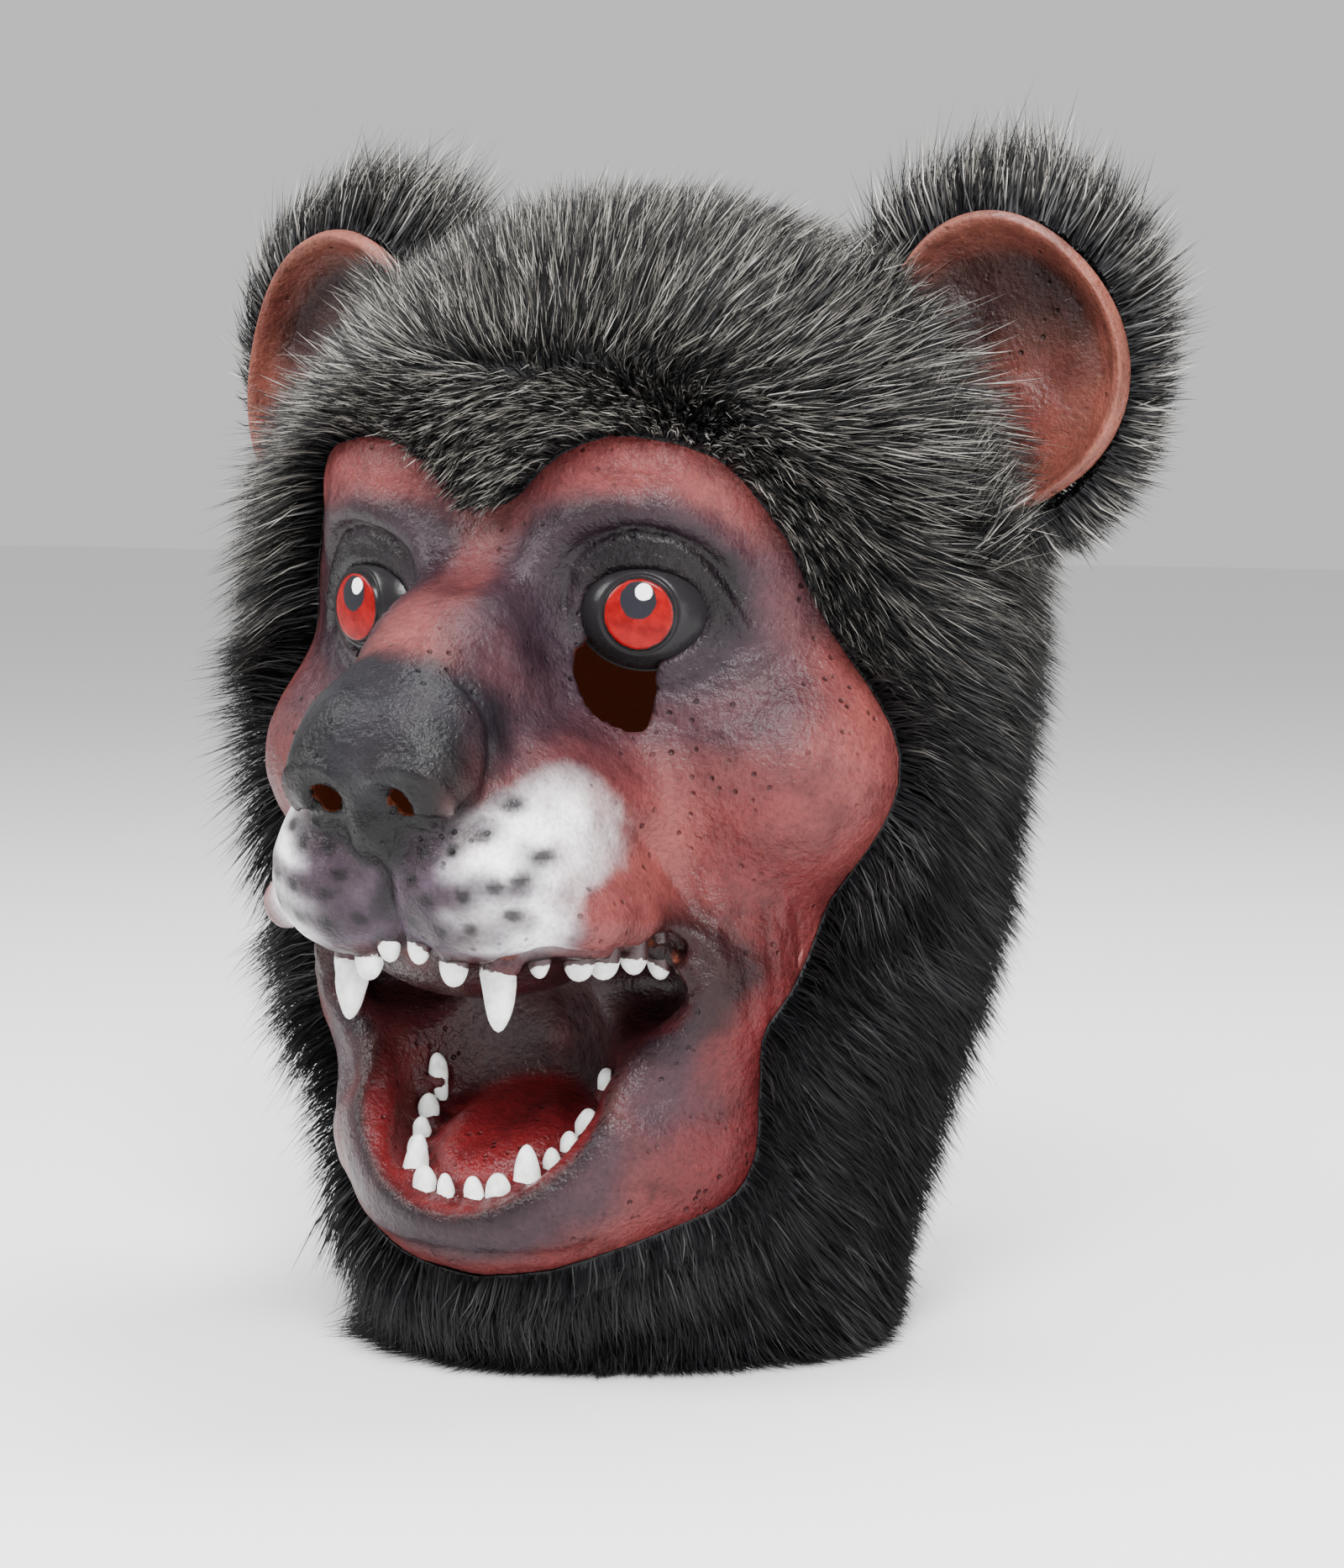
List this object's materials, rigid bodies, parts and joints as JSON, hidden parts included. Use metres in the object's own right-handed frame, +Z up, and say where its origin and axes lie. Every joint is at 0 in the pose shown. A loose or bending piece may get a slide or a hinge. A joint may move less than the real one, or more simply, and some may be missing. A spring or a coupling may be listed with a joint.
{
  "type": "full overhead rubber bear mask",
  "caption": "Full overhead bear mask of thin rubber with an open toothed mouth, bare ears and a deep black fur hood, open at the neck.",
  "frame": {"origin": "under the middle of the mask, at the level of the neck rim it stands on", "axes": "+Z up, the mask faces -Y, +X to the mask's own left"},
  "size_m": [0.3232, 0.27, 0.338],
  "materials": {
    "latex": "airbrushed moulded latex, semi-matte, darker round eyes, nose and lips",
    "fur": "long pile faux fur, black with grey tips",
    "eye": "gloss paint, red iris and black pupil",
    "tooth": "hand painted off-white"
  },
  "bodies": {
    "root": {"latex_head": "latex", "fur_hood": "fur", "fur_ear_left": "fur", "fur_ear_right": "fur", "eye_left": "eye", "eye_right": "eye", "tooth_upper_left_1": "tooth", "tooth_upper_left_2": "tooth", "tooth_upper_left_3": "tooth", "tooth_upper_left_4": "tooth", "tooth_upper_left_5": "tooth", "tooth_upper_left_6": "tooth", "tooth_upper_left_7": "tooth", "tooth_upper_left_8": "tooth", "tooth_upper_right_1": "tooth", "tooth_upper_right_2": "tooth", "tooth_upper_right_3": "tooth", "tooth_upper_right_4": "tooth", "tooth_upper_right_5": "tooth", "tooth_upper_right_6": "tooth", "tooth_upper_right_7": "tooth", "tooth_upper_right_8": "tooth", "tooth_lower_left_1": "tooth", "tooth_lower_left_2": "tooth", "tooth_lower_left_3": "tooth", "tooth_lower_left_4": "tooth", "tooth_lower_left_5": "tooth", "tooth_lower_left_6": "tooth", "tooth_lower_left_7": "tooth", "tooth_lower_right_1": "tooth", "tooth_lower_right_2": "tooth", "tooth_lower_right_3": "tooth", "tooth_lower_right_4": "tooth", "tooth_lower_right_5": "tooth", "tooth_lower_right_6": "tooth", "tooth_lower_right_7": "tooth"}
  },
  "joints": []
}
